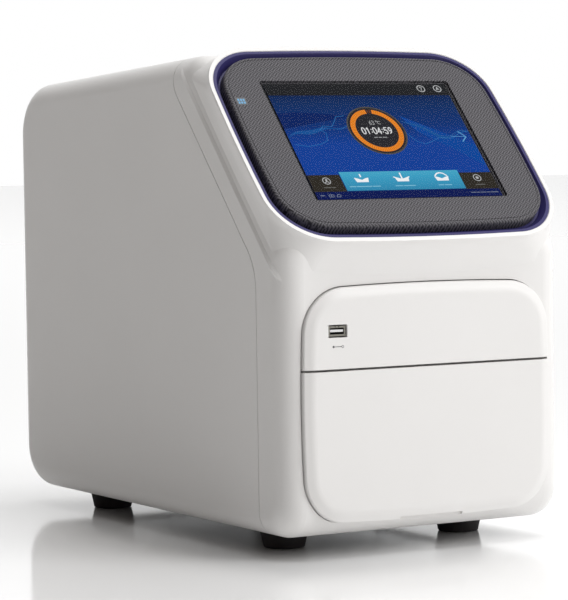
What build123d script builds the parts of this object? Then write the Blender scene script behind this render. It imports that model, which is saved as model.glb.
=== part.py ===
"""Thermal cycler with a motorised block drawer, a slanted touch display and fluorescence optics.

Millimetres, +Z up, front towards -Y, resting on four feet at z = 0, centred on x = 0, y = 0.
Every separate physical piece is exported as its own STEP file in parts/.
"""
import os
from math import atan, cos, pi, radians, sin, sqrt, tan

from build123d import *

# ---------------------------------------------------------------- housing
BODY_HALF_W = 130.0          # half width of the housing below the display collar
BODY_FRONT, BODY_REAR = -238.5, 250.0
BODY_BOTTOM = 16.0
TOP_Z, TOP_SLOPE = 390.07, -0.0491    # top skin: z = TOP_Z + TOP_SLOPE * y
EDGE_R = 19.0                # rounding along the sides of the housing
PROFILE_R = (28.0, 38.0, 46.0, 24.0, 24.0)
WALL = 3.0
SEAM_GAP = 0.8
SEAM = ((-197, -20), (-197, 226), (-64, 368), (-64, 440))
SEAM_R = (45.0, 20.0)

# ---------------------------------------------------------------- slanted display
TILT = 46.96                 # slope of the display plane above horizontal, degrees
SLANT_O = Vector(0, -179.57, 324.18)
SLANT_UP = Vector(0, cos(radians(TILT)), sin(radians(TILT)))
SLANT_N = Vector(0, -sin(radians(TILT)), cos(radians(TILT)))
SHELF = 14.0                 # depth of the housing's own slanted face below the display plane
CENTRE_V = 1.0               # centre of the collar, up the slope
CROWN = 3.5                  # bulge of the long sides
LIP = (135.0, 106.87, 50.0)  # half width, half height, corner radius
RING = (131.5, 102.5, 46.0)
BEZEL = (124.5, 93.5, 40.0)
WINDOW = (-90.0, 89.0, -64.0, 66.0)
SCREEN = (-86.5, 85.5, -62.0, 64.0)
COLLAR_DEPTHS = (2.5, 4.5, 8.0, 12.0, 16.0, 19.5, 25.0, 32.0, 38.0)
COLLAR_CORNERS = (50.0, 50.0, 47.0, 42.0, 37.0, 33.5, 29.0, 25.0, 24.0)
COVE_START = 4.5             # depth where the collar starts to curve into the housing
COVE_LOW = (105.87, 27.47, 0.019492)   # lip height below centre line, length, curvature of the lower cove
COVE_HIGH = (107.87, 14.97, 0.02825)   # the same above it
COVE_SIDE = (5.0, 27.5)      # flare and length of the cove on the sides

# ---------------------------------------------------------------- front panels
FASCIA = (114.2, 92.8, 37.0)
FASCIA_Z = 119.1
FASCIA_FRONT, FASCIA_BACK = -244.2, -233.7
FASCIA_CROWN = 3.0
FASCIA_RAMP = (2.8, 7.5)      # depth and width of the soft edge of the front panels
SPLIT_Z, SPLIT_GAP = 146.8, 1.8
BULKHEAD = (-233.2, -230.7)
DRAWER_HOLE = (104.0, 31.0, 137.0)    # half width, bottom, top
USB_X, USB_Z = -84.5, 177.0
TRAVEL = 155.0               # drawer travel

# ---------------------------------------------------------------- drawer and block
BLOCK_Y = -160.0
PITCH = 9.0                  # well pitch of a 96 well plate
WELL_TOP_D, WELL_BOTTOM_D, WELL_DEPTH = 6.1, 2.6, 14.0
TRAY = (92.0, -233.7, -17.0, 35.0, 95.0)   # half width, front, rear, floor, rim
RACK_M, PINION_T = 1.5, 14
PINION_Y, RACK_PITCH_Z = -185.0, 92.0
PINION_R = RACK_M * PINION_T / 2
BACKLASH = 0.62

# ---------------------------------------------------------------- heated cover
COVER_Z = 134.6
POST_X, POST_Y = 90.0, 45.0
ROD_R, BORE_R = 3.0, 3.08
DECK = (178.0, 181.0)

# ---------------------------------------------------------------- optics
AXIS_Z = 240.0
SPLITTER_Y = -85.0
WHEEL_R, FILTER_CIRCLE, FILTER_R = 37.0, 25.0, 9.0
EXC_Z, EMI_Y = 279.0, -44.0

# ---------------------------------------------------------------- rear
PANEL = (244.5, 246.9)
FAN_X, FAN_Z, FAN_SIZE = 47.0, 205.0, 80.0
INLET_X, SWITCH_X, SOCKET_Z = -62.0, 62.0, 92.0


# ================================================================ helpers
def block(x0, x1, y0, y1, z0, z1):
    return Pos((x0 + x1) / 2, (y0 + y1) / 2, (z0 + z1) / 2) * Box(x1 - x0, y1 - y0, z1 - z0)


def rod(axis, a, b, radius, start, end):
    """Cylinder along an axis; a, b are the two other coordinates in x, y, z order."""
    mid, length = (start + end) / 2, end - start
    if axis == "x":
        return Pos(mid, a, b) * Rot(0, 90, 0) * Cylinder(radius, length)
    if axis == "y":
        return Pos(a, mid, b) * Rot(90, 0, 0) * Cylinder(radius, length)
    return Pos(a, b, mid) * Cylinder(radius, length)


def outline(half_w, half_h, corner, crown=CROWN, centre=(0, 0)):
    """Rounded rectangle with gently bulging sides."""
    w, h = half_w - crown, half_h - crown
    sides = [ThreePointArc((w, -h), (half_w, 0), (w, h)), ThreePointArc((w, h), (0, half_h), (-w, h)),
             ThreePointArc((-w, h), (-half_w, 0), (-w, -h)), ThreePointArc((-w, -h), (0, -half_h), (w, -h))]
    face = make_face(Curve() + sides)
    return Pos(*centre) * fillet(face.vertices(), corner)


def slab(u0, u1, v0, v1, corner=0.0):
    sketch = Rectangle(u1 - u0, v1 - v0)
    if corner:
        sketch = fillet(sketch.vertices(), corner)
    return Pos((u0 + u1) / 2, (v0 + v1) / 2) * sketch


def slant(depth):
    """Plane parallel to the display, the given depth below it."""
    return Plane(origin=SLANT_O - SLANT_N * depth, x_dir=(1, 0, 0), z_dir=SLANT_N)


def prism(sketch, top, bottom):
    """Extrude a sketch between two depths below the display plane."""
    return extrude(slant(bottom) * sketch, bottom - top)


def collar_outline(half_w, half_h, corner):
    return outline(half_w, half_h, corner, centre=(0, CENTRE_V))


def taper(top, bottom):
    """Solid between two collar outlines, each (depth, half width, half height, corner)."""
    return loft([slant(d) * collar_outline(w, h, r) for d, w, h, r in (top, bottom)], ruled=True)


def front_prism(sketch, y_front, y_back):
    """Extrude an x-z sketch between two y positions."""
    plane = Plane(origin=(0, y_back, 0), x_dir=(1, 0, 0), z_dir=(0, -1, 0))
    return extrude(plane * sketch, y_back - y_front)


def side_prism(points, half_w, radii=None):
    """Extrude a y-z polygon symmetrically in x."""
    if radii:
        line = FilletPolyline(*points, radius=radii, close=True)
    else:
        line = Polyline(*points, close=True)
    return extrude(Plane.YZ * make_face(line), half_w, both=True)


def fascia_outline(grow=0.0):
    w, h, r = FASCIA
    return outline(w + grow, h + grow, r + grow, FASCIA_CROWN, (0, FASCIA_Z))


# ================================================================ housing
def envelope(inset):
    """Closed housing body, without the display collar."""
    rise = tan(radians(TILT))
    slant_y, slant_z = -169.34, 314.62
    corner_z = slant_z + (BODY_FRONT - slant_y) * rise
    ridge_y = (slant_z - slant_y * rise - TOP_Z) / (TOP_SLOPE - rise)
    ridge_z = TOP_Z + TOP_SLOPE * ridge_y
    pts = [(BODY_FRONT, BODY_BOTTOM), (BODY_REAR, BODY_BOTTOM),
           (BODY_REAR, TOP_Z + TOP_SLOPE * BODY_REAR), (ridge_y, ridge_z), (BODY_FRONT, corner_z)]
    face = make_face(FilletPolyline(*pts, radius=PROFILE_R, close=True))
    if inset:
        face = offset(face, -inset)
    half = BODY_HALF_W - inset
    solid = extrude(Plane.YZ * face, half, both=True)
    ends = solid.faces().sort_by(Axis.X)
    return fillet(ends[0].edges() + ends[-1].edges(), EDGE_R - inset)


def seam_side(shift, front):
    """Space in front of (or behind) the seam line moved back by shift."""
    line = [(-400, -20), *SEAM, (-400, 440)]
    radii = (0.0, 0.0, *SEAM_R, 0.0, 0.0)
    face = make_face(FilletPolyline(*line, radius=radii, close=True))
    if shift:
        face = offset(face, shift, kind=Kind.INTERSECTION)
    solid = extrude(Plane.YZ * face, 200, both=True)
    return solid if front else block(-200, 200, -420, 420, -60, 480) - solid


def collar_section(depth, corner):
    """Outline of the display collar at a depth; it flows into the housing's front, top and sides."""
    s = max(depth - COVE_START, 0.0)
    low_lip, low_len, low_curve = COVE_LOW
    high_lip, high_len, high_curve = COVE_HIGH
    rise = tan(radians(TILT))
    low = low_lip + low_curve * min(s, low_len) ** 2 + rise * 0.93 * max(s - low_len, 0) - 0.004 * s
    high = high_lip + high_curve * min(s, high_len) ** 2 + 0.80 * max(s - high_len, 0) - 0.006 * s
    t = min(s / COVE_SIDE[1], 1.0)
    half_w = BODY_HALF_W + COVE_SIDE[0] * (1 - t) ** 2 - 0.006 * s - 0.06 * max(s - COVE_SIDE[1], 0)
    face = outline(half_w, (high + low) / 2, corner, CROWN * (1 - 0.9 * t), (0, (high - low) / 2))
    return slant(depth) * face


def collar():
    return loft([collar_section(d, r) for d, r in zip(COLLAR_DEPTHS, COLLAR_CORNERS)])


def make_covers():
    body, inner = envelope(0), envelope(WALL)
    head = collar()
    shell = body + head + (front_prism(fascia_outline(3.6), -239, BULKHEAD[1]) & body)
    hollow = inner - front_prism(fascia_outline(3.6), -239, BULKHEAD[1])
    shell -= hollow
    # room for the ring and the bezel, then the window for the display
    shell -= taper((2.0, RING[0] + 0.9, RING[1] + 0.9, 46.7), (10.2, 126.6, 96.6, 42.0))
    shell -= prism(collar_outline(BEZEL[0] + 0.5, BEZEL[1] + 0.5, 40.5), 5, SHELF)
    shell -= prism(slab(-112, 112, -80, 82, 8), 0, 40)
    # recess for the front panels with the drawer and socket openings behind it
    shell -= front_prism(fascia_outline(0.9), -260, BULKHEAD[0])
    half, low, high = DRAWER_HOLE
    shell -= front_prism(slab(-half, half, low, high, 24), -240, -225)
    shell -= block(USB_X - 6.55, USB_X + 6.55, -240, -220, USB_Z - 2.85, USB_Z + 2.85)
    front = shell & seam_side(-SEAM_GAP / 2, True)
    rear = shell & seam_side(SEAM_GAP / 2, False)
    # tongue of the rear cover behind the seam
    lap = (envelope(WALL + 0.3) - envelope(WALL + 1.8)) & seam_side(3.0, True) & seam_side(-5.0, False)
    root = (envelope(WALL - 0.1) - envelope(WALL + 1.8)) & seam_side(5.0, True) & seam_side(1.0, False)
    rear += lap + root
    rear -= block(-104.5, 104.5, -180, 202, 0, 19.6)
    rear -= front_prism(slab(-98, 98, 60, 322, 6), 235, 260)
    return front, rear


def make_base_plate():
    plate = block(-106, 106, -188, 205, 19, 21.5)
    for x in (-60, -30, 0, 30, 60):
        for y in (-130, -95, -60, -25):
            plate -= Pos(x, y, 20) * extrude(SlotOverall(22, 3.2), 6, both=True)
    return plate


def make_feet():
    feet = []
    for x in (-83, 83):
        for y in (-152.7, 158.8):
            cone = Pos(x, y, 8) * Cone(16.5, 20, 16)
            boss = rod("z", x, y, 12, 15.5, 19)
            feet.append(fillet((cone + boss).edges().sort_by(Axis.Z)[0], 1.5))
    return Compound(feet)


# ================================================================ display
def make_ring():
    ring = taper((3.0, *RING), (9.6, 126.0, 96.0, 41.5))
    ring -= taper((2.4, 129.4, 100.4, 44.6), (9.0, 125.7, 95.7, 41.0))
    return ring - prism(collar_outline(BEZEL[0] + 0.25, BEZEL[1] + 0.25, 40.25), 2, 12)


def make_bezel():
    bezel = prism(collar_outline(*BEZEL), 0, SHELF)
    rim = bezel.faces().sort_by(Axis((0, 0, 0), (SLANT_N.X, SLANT_N.Y, SLANT_N.Z)))[-1].edges()
    bezel = fillet(rim, 2.2)
    line_out = prism(collar_outline(BEZEL[0] - 2.9, BEZEL[1] - 2.9, 37.1), -1, 0.35)
    line_in = prism(collar_outline(BEZEL[0] - 3.7, BEZEL[1] - 3.7, 36.3), -1, 0.35)
    bezel -= line_out - line_in
    bezel -= prism(collar_outline(BEZEL[0] - 3, BEZEL[1] - 3, 37), 3.0, 20)
    bezel -= prism(slab(*WINDOW, 2.5), -1, 4)
    bezel -= prism(slab(-119.0, -109.0, 39.2, 47.8, 1.2), -1, 0.8)
    u0, u1, v0, v1 = WINDOW
    shelf = prism(slab(u0 - 3, u1 + 3, v0 - 3, v1 + 3, 3), 2.2, 3.0)
    shelf -= prism(slab(u0 + 1.5, u1 - 1.5, v0 + 1.5, v1 - 1.5, 1), 0, 5)
    return bezel + shelf


def make_display_parts():
    u0, u1, v0, v1 = WINDOW
    parts = {"touch_glass": prism(slab(u0 + 0.4, u1 - 0.4, v0 + 0.4, v1 - 0.4, 2.1), 0.4, 2.2)}
    module = prism(slab(-95, 94, -69, 71, 1.5), 3.0, 9.0)
    module += prism(slab(SCREEN[0], SCREEN[1], SCREEN[2], SCREEN[3]), 2.3, 3.0)
    parts["display_module"] = module
    bracket = prism(slab(-104, 104, -74, 76, 8), 9.0, 10.5) + prism(slab(-117, 117, -30, 32, 3), 9.0, 10.5)
    bracket -= prism(slab(-70, 70, -40, 42, 6), 8, 12)
    for u in (-117, 113.5):
        bracket += prism(slab(u, u + 3.5, -30, 32), 9.0, SHELF)
    board = prism(slab(-60, 60, -30, 32, 2), 13.5, 15.1) - prism(slab(-1.6, 1.6, -1.6, 1.6), 13, 16)
    for u, v in ((-56, -26), (56, -26), (-56, 28), (56, 28)):
        board += prism(Pos(u, v) * Circle(2.5), 10.5, 13.5)
    for u, v, a, b in ((-20, 5, 18, 18), (18, 8, 12, 10), (30, -14, 22, 8), (-34, -18, 9, 12)):
        board += prism(slab(u, u + a, v, v + b), 15.1, 17.6)
    # the board stands on four pads of the bracket that cross the opening's corners
    for u, v in ((-56, -26), (56, -26), (-56, 28), (56, 28)):
        bracket = bracket + prism(slab(min(u, u * 1.3), max(u, u * 1.3), v - 4, v + 4), 9.0, 10.5)
    parts["display_bracket"] = bracket
    parts["display_board"] = board
    parts["touch_key_window"] = prism(slab(-118.8, -109.2, 39.4, 47.6, 1.0), 0.05, 0.8)
    return parts


# ================================================================ front panels
def make_fascias():
    depth, width = FASCIA_RAMP
    plate = front_prism(fascia_outline(), FASCIA_FRONT + depth, FASCIA_BACK)
    ramp = [Plane(origin=(0, y, 0), x_dir=(1, 0, 0), z_dir=(0, -1, 0)) * fascia_outline(grow)
            for y, grow in ((FASCIA_FRONT + depth, 0.0), (FASCIA_FRONT, -width))]
    plate += loft(ramp, ruled=True)
    rim = plate.edges().filter_by(lambda e: abs(e.center().Y - FASCIA_FRONT - depth) < 0.05)
    plate = fillet(rim, 1.6)
    plate = fillet(plate.faces().sort_by(Axis.Y)[0].edges(), 14.0)
    cavity = front_prism(fascia_outline(-3.0), FASCIA_FRONT + 3.2, FASCIA_BACK + 1)
    up = block(-150, 150, -260, -200, SPLIT_Z + SPLIT_GAP / 2, 300)
    down = block(-150, 150, -260, -200, 0, SPLIT_Z - SPLIT_GAP / 2)
    upper = plate & up
    upper -= cavity & block(-150, 150, -260, -200, SPLIT_Z + SPLIT_GAP / 2 + 2.6, 300)
    for x, z in ((-60, 190), (60, 190), (-95, 156), (95, 156)):
        upper += rod("y", x, z, 4, FASCIA_FRONT + 2, BULKHEAD[0])
    frame = front_prism(slab(USB_X - 10.5, USB_X + 10.5, USB_Z - 7, USB_Z + 7, 2), FASCIA_FRONT + 1, FASCIA_BACK)
    upper += frame
    upper -= front_prism(slab(USB_X - 8.5, USB_X + 8.5, USB_Z - 5, USB_Z + 5, 0.8), -260, -200)
    lower = plate & down
    lower -= cavity & block(-150, 150, -260, -200, 0, SPLIT_Z - SPLIT_GAP / 2 - 2.6)
    for x in (-80, 80):
        for z in (48, 118):
            lower += rod("y", x, z, 5, FASCIA_FRONT + 2, FASCIA_BACK)
    lower -= block(-29, 29, -260, FASCIA_FRONT + 5.5, 20, 29.2)
    return upper, lower


def usb_shell(width=13.1, height=5.7, length=17.0):
    """Open sheet-metal shell, mouth at y = 0 facing -Y, centred on x and z."""
    shell = block(-width / 2, width / 2, 0, length, -height / 2, height / 2)
    shell += block(-width / 2 - 1.1, width / 2 + 1.1, 0, 0.5, -height / 2 - 1.1, height / 2 + 1.1)
    for x in (-1.6, 1.6):
        shell -= block(x - 0.4, x + 0.4, -1, 1, -height, height) & block(-9, 9, -1, 1, height / 2, height)
    return shell - block(-width / 2 + 0.35, width / 2 - 0.35, -1, length - 0.6, -height / 2 + 0.35, height / 2 - 0.35)


def usb_tongue(length=17.0):
    return block(-5.9, 5.9, 0.6, length - 0.6, -0.7, 1.1)


# ================================================================ frame
def make_frames():
    pts = [(-186, 21.5), (120, 21.5), (120, 178), (-225, 178), (-225, 40), (-214, 34), (-186, 34)]
    frames = []
    for sign in (-1, 1):
        plate = side_prism(pts, 1.0).moved(Location((sign * 109, 0, 0)))
        foot = block(98, 108, -186, 120, 21.5, 23.5) if sign > 0 else block(-108, -98, -186, 120, 21.5, 23.5)
        lip = block(100, 108, -222, 120, 176, 178) if sign > 0 else block(-108, -100, -222, 120, 176, 178)
        plate += foot + lip
        for y in (-60, 10, 80):
            plate -= rod("x", y, 105, 16, sign * 109 - 5, sign * 109 + 5)
        if sign < 0:
            plate -= rod("x", PINION_Y, RACK_PITCH_Z + PINION_R, 4.0, -115, -100)
        frames.append(plate)
    return frames


def make_deck():
    deck = block(-110, 110, -222, 30, *DECK)
    deck -= block(-60, 60, BLOCK_Y - 43, BLOCK_Y + 43, 170, 190)
    for x in (-POST_X, POST_X):
        deck -= rod("z", x, BLOCK_Y, 4.5, 170, 190)
    return deck


# ================================================================ drawer
def make_tray():
    half, front, rear, floor, rim = TRAY
    tray = block(-half, half, front, rear, floor, rim) - block(-half + 2, half - 2, front + 2, rear - 2, floor + 2, 200)
    tray += block(-88, 88, front, front + 2, floor, 126)
    for x in (-60, -30, 0, 30, 60):
        for y in (-190, -160, -130):
            tray -= Pos(x, y, floor) * extrude(SlotOverall(20, 4, rotation=90), 4, both=True)
    tray -= rod("y", 0, 62, 14, rear - 4, rear + 2)
    return tray


def make_rails():
    outer, inner = [], []
    for s in (-1, 1):
        def side(a, b, y0, y1, z0, z1):
            return block(min(s * a, s * b), max(s * a, s * b), y0, y1, z0, z1)
        channel = side(95.6, 108, -224, -6, 62, 82) - side(95, 103.5, -230, 0, 67.6, 76.4)
        outer.append(channel)
        inner.append(side(92, 94.8, -228, -18, 62, 82) + side(94.8, 103.0, -228, -18, 68.0, 76.0))
    return Compound(outer), Compound(inner)


def tooth_half(radius, base, half_angle_pitch, pitch_r):
    """Half the angle a tooth covers at a radius (involute flank)."""
    def involute(r):
        a = sqrt(max((r / base) ** 2 - 1, 0))
        return a - atan(a)
    return half_angle_pitch + involute(pitch_r) - involute(max(radius, base))


def make_pinion():
    """14 tooth spur pinion on its shaft, along X; one tooth points straight down."""
    base = PINION_R * cos(radians(20))
    root, tip = PINION_R - 1.25 * RACK_M, PINION_R + RACK_M - 0.1
    half_pitch = (pi * RACK_M / 2 - BACKLASH / 2) / 2 / PINION_R
    pts = []
    steps = [root, base + 0.02] + [base + (tip - base) * k / 5 for k in range(1, 6)]
    for n in range(PINION_T):
        mid = -pi / 2 + 2 * pi * n / PINION_T
        halves = [(r, tooth_half(r, base, half_pitch, PINION_R)) for r in steps]
        pts += [(r * cos(mid - a), r * sin(mid - a)) for r, a in halves]
        pts += [(r * cos(mid + a), r * sin(mid + a)) for r, a in reversed(halves)]
    face = make_face(Polyline(*pts, close=True))
    centre_z = RACK_PITCH_Z + PINION_R
    plane = Plane(origin=(-97.5, PINION_Y, centre_z), x_dir=(0, 1, 0), z_dir=(1, 0, 0))
    gear = extrude(plane * face, 5.0)
    gear += rod("x", PINION_Y, centre_z, 4.0, -99.5, -97.5)
    return gear + rod("x", PINION_Y, centre_z, 2.5, -118.0, -97.0)


def make_rack():
    """Rack on the left wall of the tray, teeth up, one gap centred under the pinion."""
    p = pi * RACK_M
    half_gap = (p / 2 + BACKLASH / 2) / 2
    top, bottom = RACK_PITCH_Z + RACK_M - 0.1, RACK_PITCH_Z - 1.25 * RACK_M
    slope = tan(radians(20))
    n_front, n_rear = 2, 34
    start, end = PINION_Y - (n_front + 0.5) * p, PINION_Y + (n_rear + 0.5) * p
    pts = [(start, 84.0), (end, 84.0), (end, top)]
    for k in range(n_rear, -n_front - 1, -1):
        c = PINION_Y + k * p
        wide = half_gap + (top - RACK_PITCH_Z) * slope
        narrow = half_gap - (RACK_PITCH_Z - bottom) * slope
        pts += [(c + wide, top), (c + narrow, bottom), (c - narrow, bottom), (c - wide, top)]
    pts.append((start, top))
    face = make_face(Polyline(*pts, close=True))
    plane = Plane(origin=(-98.0, 0, 0), x_dir=(0, 1, 0), z_dir=(1, 0, 0))
    return extrude(plane * face, 6.0)


def make_drawer_motor():
    centre_z = RACK_PITCH_Z + PINION_R
    motor = rod("x", PINION_Y, centre_z, 16, -121, -110) - rod("x", PINION_Y, centre_z, 2.6, -118.2, -109)
    for dy in (-20, 20):
        ear = block(-112, -110, PINION_Y + min(dy, 0), PINION_Y + max(dy, 0), centre_z - 5, centre_z + 5)
        motor += ear - rod("x", PINION_Y, centre_z, 10, -113, -109)
    return motor


def make_sample_block():
    body = block(-61, 61, BLOCK_Y - 41, BLOCK_Y + 41, 96, 100.5)
    body += block(-57, 57, BLOCK_Y - 39, BLOCK_Y + 39, 100.5, 126)
    well = Cone(WELL_BOTTOM_D / 2, WELL_TOP_D / 2, WELL_DEPTH)
    grid = GridLocations(PITCH, PITCH, 12, 8)
    wells = [Pos(0, BLOCK_Y, 126.01 - WELL_DEPTH / 2) * loc * well for loc in grid]
    return body - wells


def make_block_frame():
    frame = block(-78, 78, BLOCK_Y - 57, BLOCK_Y + 57, 92, 133)
    frame = fillet(frame.edges().filter_by(Axis.Z), 6)
    frame -= block(-62.5, 62.5, BLOCK_Y - 42.5, BLOCK_Y + 42.5, 90, 140)
    frame -= block(-64.6, 64.6, BLOCK_Y - 43.6, BLOCK_Y + 43.6, 122, 140)
    for sx in (-1, 1):
        frame -= Pos(sx * 71, BLOCK_Y, 133) * Cylinder(9, 14)
    top = frame.faces().sort_by(Axis.Z)[-1].outer_wire().edges()
    return chamfer(top, 1.5)


def make_block_seal():
    ring = block(-62.5, 62.5, BLOCK_Y - 42.5, BLOCK_Y + 42.5, 100.5, 104)
    return ring - block(-57.4, 57.4, BLOCK_Y - 39.4, BLOCK_Y + 39.4, 99, 105)


def make_peltiers():
    return Compound([block(x - 19.5, x + 19.5, BLOCK_Y + y - 19.5, BLOCK_Y + y + 19.5, 92, 96)
                     for x in (-40, 0, 40) for y in (-20, 20)])


def make_heat_sink():
    sink = block(-80, 80, BLOCK_Y - 60, BLOCK_Y + 60, 86, 92)
    fins = [block(x - 0.8, x + 0.8, BLOCK_Y - 60, BLOCK_Y + 60, 40, 86) for x in range(-72, 73, 6)]
    for s in (-1, 1):
        fins.append(block(min(s * 76, s * 80), max(s * 76, s * 80), BLOCK_Y - 60, BLOCK_Y + 60, 37, 86))
    return sink + fins


# ================================================================ heated cover
def make_heated_plate():
    plate = Rectangle(128, 92) - [loc * Circle(2.2) for loc in GridLocations(PITCH, PITCH, 12, 8)]
    return extrude(Plane(origin=(0, BLOCK_Y, COVER_Z)) * plate, 6.4)


def make_carriage():
    low, high = COVER_Z + 6.4, COVER_Z + 15.4
    frame = block(-98, 98, BLOCK_Y - 54, BLOCK_Y + 54, low, high)
    frame = fillet(frame.edges().filter_by(Axis.Z), 5)
    frame -= block(-56, 56, BLOCK_Y - 39, BLOCK_Y + 39, low - 1, high + 1)
    for x in (-POST_X, POST_X):
        for y in (-POST_Y, 0, POST_Y):
            frame -= rod("z", x, BLOCK_Y + y, BORE_R, low - 1, high + 1)
    return frame


def make_guide_rods():
    return Compound([rod("z", x, BLOCK_Y + y, ROD_R, 137.5, DECK[0])
                     for x in (-POST_X, POST_X) for y in (-POST_Y, POST_Y)])


def make_cover_motors():
    motors = []
    for x in (-POST_X, POST_X):
        body = block(x - 14, x + 14, BLOCK_Y - 14, BLOCK_Y + 14, DECK[1], DECK[1] + 26)
        body = chamfer(body.edges().filter_by(Axis.Z), 3)
        motors.append(body - rod("z", x, BLOCK_Y, BORE_R, DECK[1] - 1, DECK[1] + 16))
    return Compound(motors)


# ================================================================ optics
def make_optics_housing():
    outer = [(-214, DECK[1]), (-104, DECK[1]), (-52, 214), (-52, 268), (-170, 268), (-214, 222)]
    hull = side_prism(outer, 70)
    face = offset(make_face(Polyline(*outer, close=True)), -2.5, kind=Kind.INTERSECTION)
    hull -= extrude(Plane.YZ * face, 67.5, both=True)
    hull -= block(-67.5, 67.5, -211.5, -110, 170, 190)
    hull -= rod("z", 0, SPLITTER_Y, 14, 260, 275)
    hull -= rod("y", 0, AXIS_Z, 14, -60, -45)
    return hull


def tilted_plate(centre_y, centre_z, half_length, thickness):
    plate = Box(135, 2 * half_length, thickness)
    return Pos(0, centre_y, centre_z) * Rot(45, 0, 0) * Pos(0, 0, thickness / 2) * plate


def make_excitation_bracket():
    plate = block(-68, 30, -131, -53, 287, 289.5) - rod("z", 0, SPLITTER_Y, 10, 280, 295)
    plate -= rod("z", -FILTER_CIRCLE, SPLITTER_Y, 4, 280, 295)
    for x, y in ((-64, -126), (-64, -57), (25, -60), (25, -114)):
        plate += rod("z", x, y, 3.5, 268, 287.5)
    return plate


def make_wheel():
    """Filter wheel about Z with its face at z = 0..6, shaft upwards; one seat on the +X side."""
    wheel = Cylinder(WHEEL_R, 6, align=(Align.CENTER, Align.CENTER, Align.MIN))
    wheel -= [Rot(0, 0, 60 * k) * Pos(FILTER_CIRCLE, 0, 3) * Cylinder(FILTER_R, 8) for k in range(6)]
    glass = [Rot(0, 0, 60 * k) * Pos(FILTER_CIRCLE, 0, 3) * Cylinder(FILTER_R, 2.4) for k in range(6)]
    wheel += rod("z", 0, 0, 7, 6, 7.4) + rod("z", 0, 0, 2.5, 6, 26)
    return wheel, Compound(glass)


def wheel_motor():
    """Small motor above its mounting plate at z = 0, bore for the wheel's shaft."""
    return rod("z", 0, 0, 11, 0, 24) - rod("z", 0, 0, 2.6, -1, 18)


def make_led_module():
    x0, x1 = -12.5, 29
    module = block(x0, x1, SPLITTER_Y - 20, SPLITTER_Y + 20, 289.5, 303)
    for k in range(8):
        y = SPLITTER_Y - 19.2 + k * 5.4
        module += block(x0, x1, y - 0.8, y + 0.8, 303, 330)
    return module - rod("z", 0, SPLITTER_Y, 9.5, 289, 299)


def make_emission_bracket():
    plate = block(-30, 68, -35, -32.5, DECK[1], 284) + block(-30, 68, -35, -8, DECK[1], 183.5)
    plate -= rod("y", 0, AXIS_Z, 10, -40, -30)
    return plate - rod("y", FILTER_CIRCLE, AXIS_Z, 4, -40, -30)


def make_camera():
    body = block(-20, 20, -7.5, 24, AXIS_Z - 20, AXIS_Z + 20)
    body = fillet(body.edges().filter_by(Axis.Y), 3)
    lens = rod("y", 0, AXIS_Z, 11, -32.5, -7.5) - rod("y", 0, AXIS_Z, 8.5, -33, -27)
    stand = block(-14, 14, 0, 18, DECK[1], AXIS_Z - 20)
    return body + lens + stand


# ================================================================ electronics
def make_main_board():
    board = block(100, 101.6, -2, 112, 55, 165)
    for y in (5, 105):
        for z in (62, 158):
            board += rod("x", y, z, 3, 101.6, 108)
    for y, z, a, b, t in ((20, 90, 32, 32, 3), (64, 92, 18, 14, 2.5), (10, 138, 50, 9, 9),
                          (70, 138, 26, 9, 9), (30, 62, 40, 8, 8), (86, 66, 14, 14, 10)):
        board += block(100 - t, 100, y, y + a, z, z + b)
    return board


def make_power_supply():
    case = block(-75, 75, 20, 212, 21.5, 70)
    case -= block(-73.5, 73.5, 21.5, 210.5, 23, 68.5)
    for x in range(-60, 61, 15):
        for y in (60, 116, 172):
            case -= Pos(x, y, 70) * extrude(SlotOverall(40, 4, rotation=90), 3, both=True)
    return case


# ================================================================ rear
def make_rear_panel():
    panel = block(-102, 102, *PANEL, 56, 326)
    for x in (-FAN_X, FAN_X):
        panel -= rod("y", x, FAN_Z, 37.5, 240, 250)
    panel -= block(INLET_X - 14, INLET_X + 14, 240, 250, SOCKET_Z - 10.5, SOCKET_Z + 10.5)
    panel -= block(SWITCH_X - 12, SWITCH_X + 12, 240, 250, SOCKET_Z - 14, SOCKET_Z + 14)
    panel -= block(-8, 8, 240, 250, SOCKET_Z - 6.8, SOCKET_Z + 6.8)
    panel -= block(20 - 6.55, 20 + 6.55, 240, 250, SOCKET_Z - 2.85, SOCKET_Z + 2.85)
    for row in range(5):
        z = 268 + row * 10
        for x in range(-72, 73, 24):
            panel -= Plane(origin=(x, 250, z), x_dir=(1, 0, 0), z_dir=(0, -1, 0)) * extrude(SlotOverall(18, 3), 8)
    return panel


def make_fan_frames():
    frames = []
    for x in (-FAN_X, FAN_X):
        half = FAN_SIZE / 2
        frame = block(x - half, x + half, 219.5, PANEL[0], FAN_Z - half, FAN_Z + half)
        frame = fillet(frame.edges().filter_by(Axis.Y), 4)
        frame -= rod("y", x, FAN_Z, 38, 210, 250)
        frame += rod("y", x, FAN_Z, 15.5, 219.5, 222.5)
        for angle in (45, 135, 225, 315):
            arm = block(14, 39, 219.5, 222, -1.6, 1.6)
            frame += Pos(x, 0, FAN_Z) * Rot(0, angle, 0) * arm
        for sx in (-1, 1):
            for sz in (-1, 1):
                frame -= rod("y", x + sx * 35.75, FAN_Z + sz * 35.75, 2.2, 210, 250)
        frame -= rod("y", x, FAN_Z, 2.1, 215, 225)
        frames.append(frame)
    return Compound(frames)


def make_fan_rotor(x):
    rotor = rod("y", x, FAN_Z, 15.5, 224, 242) - rod("y", x, FAN_Z, 13.8, 223, 240)
    rotor += rod("y", x, FAN_Z, 2.0, 220.2, 241)
    limit = rod("y", x, FAN_Z, 36.2, 224.5, 241.5) - rod("y", x, FAN_Z, 14.8, 220, 245)
    for k in range(7):
        blade = Pos(x, 233, FAN_Z) * Rot(0, k * 360 / 7, 0) * Pos(26, 0, 0) * Rot(38, 0, 0) * Box(24, 1.5, 22)
        rotor += blade & limit
    return rotor


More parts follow.
